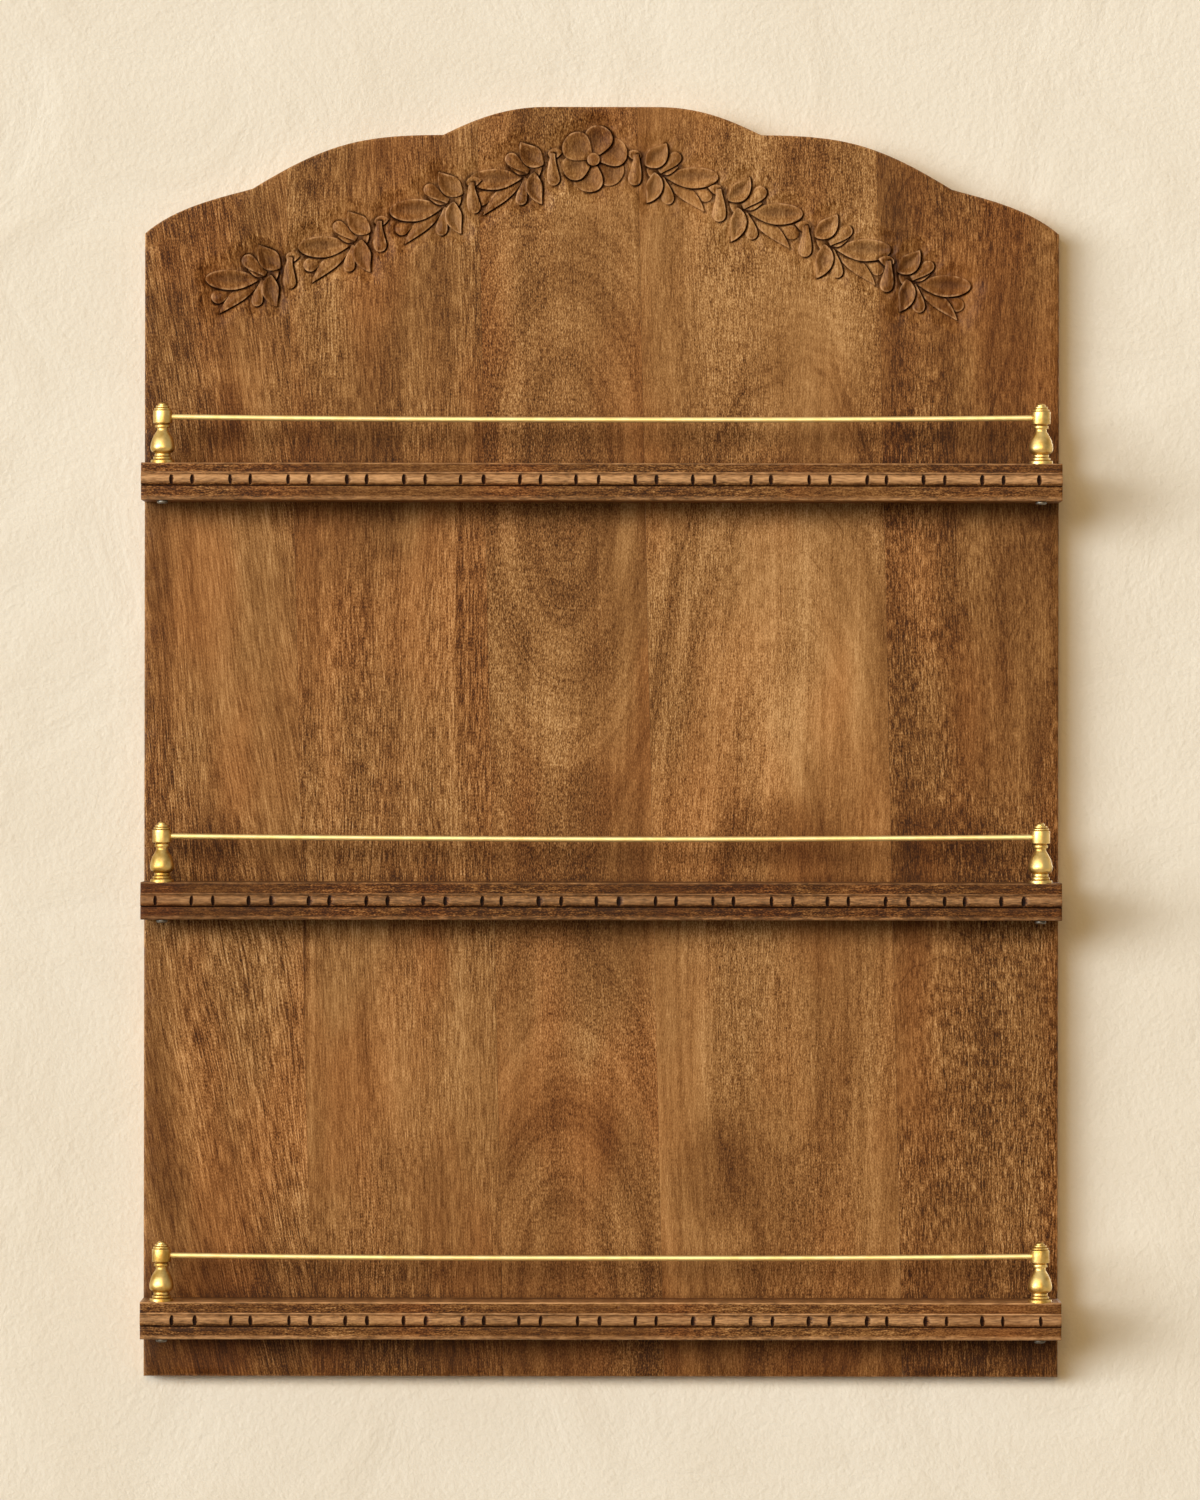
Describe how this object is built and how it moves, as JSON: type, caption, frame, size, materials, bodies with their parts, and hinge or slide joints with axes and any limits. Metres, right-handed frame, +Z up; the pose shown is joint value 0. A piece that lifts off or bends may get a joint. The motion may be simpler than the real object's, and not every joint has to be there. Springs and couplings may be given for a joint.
{
  "type": "wall shelf",
  "caption": "Wooden wall shelf with a lobed, carved back, shallow notched shelves and a turned brass gallery rail along the front of each.",
  "frame": {"origin": "centre of the back face, half way up and half way across the back, on the wall's surface", "axes": "+X to the right as seen from the front, -Y out of the wall towards the viewer, +Z up"},
  "size_m": [0.658, 0.076, 0.914],
  "materials": {
    "back_wood": "satin wax over mid-brown hardwood, streaked grain",
    "shelf_wood": "satin wax over mid-brown hardwood, darker at the moulded edge",
    "gallery_brass": "polished, lightly aged",
    "hanger_brass": "stamped, unpolished",
    "screw_steel": "zinc plated"
  },
  "bodies": {
    "root": {"back_board_1": "back_wood", "back_board_2": "back_wood", "back_board_3": "back_wood", "back_board_4": "back_wood", "back_board_5": "back_wood", "shelf_upper": "shelf_wood", "shelf_middle": "shelf_wood", "shelf_lower": "shelf_wood", "post_upper_left": "gallery_brass", "post_upper_right": "gallery_brass", "post_middle_left": "gallery_brass", "post_middle_right": "gallery_brass", "post_lower_left": "gallery_brass", "post_lower_right": "gallery_brass", "rail_upper": "gallery_brass", "rail_middle": "gallery_brass", "rail_lower": "gallery_brass", "post_screw_upper_left": "screw_steel", "post_screw_upper_right": "screw_steel", "post_screw_middle_left": "screw_steel", "post_screw_middle_right": "screw_steel", "post_screw_lower_left": "screw_steel", "post_screw_lower_right": "screw_steel", "shelf_screw_upper_1": "screw_steel", "shelf_screw_upper_2": "screw_steel", "shelf_screw_upper_3": "screw_steel", "shelf_screw_upper_4": "screw_steel", "shelf_screw_upper_5": "screw_steel", "shelf_screw_middle_1": "screw_steel", "shelf_screw_middle_2": "screw_steel", "shelf_screw_middle_3": "screw_steel", "shelf_screw_middle_4": "screw_steel", "shelf_screw_middle_5": "screw_steel", "shelf_screw_lower_1": "screw_steel", "shelf_screw_lower_2": "screw_steel", "shelf_screw_lower_3": "screw_steel", "shelf_screw_lower_4": "screw_steel", "shelf_screw_lower_5": "screw_steel", "hanger_left": "hanger_brass", "hanger_right": "hanger_brass", "hanger_screw_left_lower": "screw_steel", "hanger_screw_left_upper": "screw_steel", "hanger_screw_right_lower": "screw_steel", "hanger_screw_right_upper": "screw_steel"}
  },
  "joints": []
}
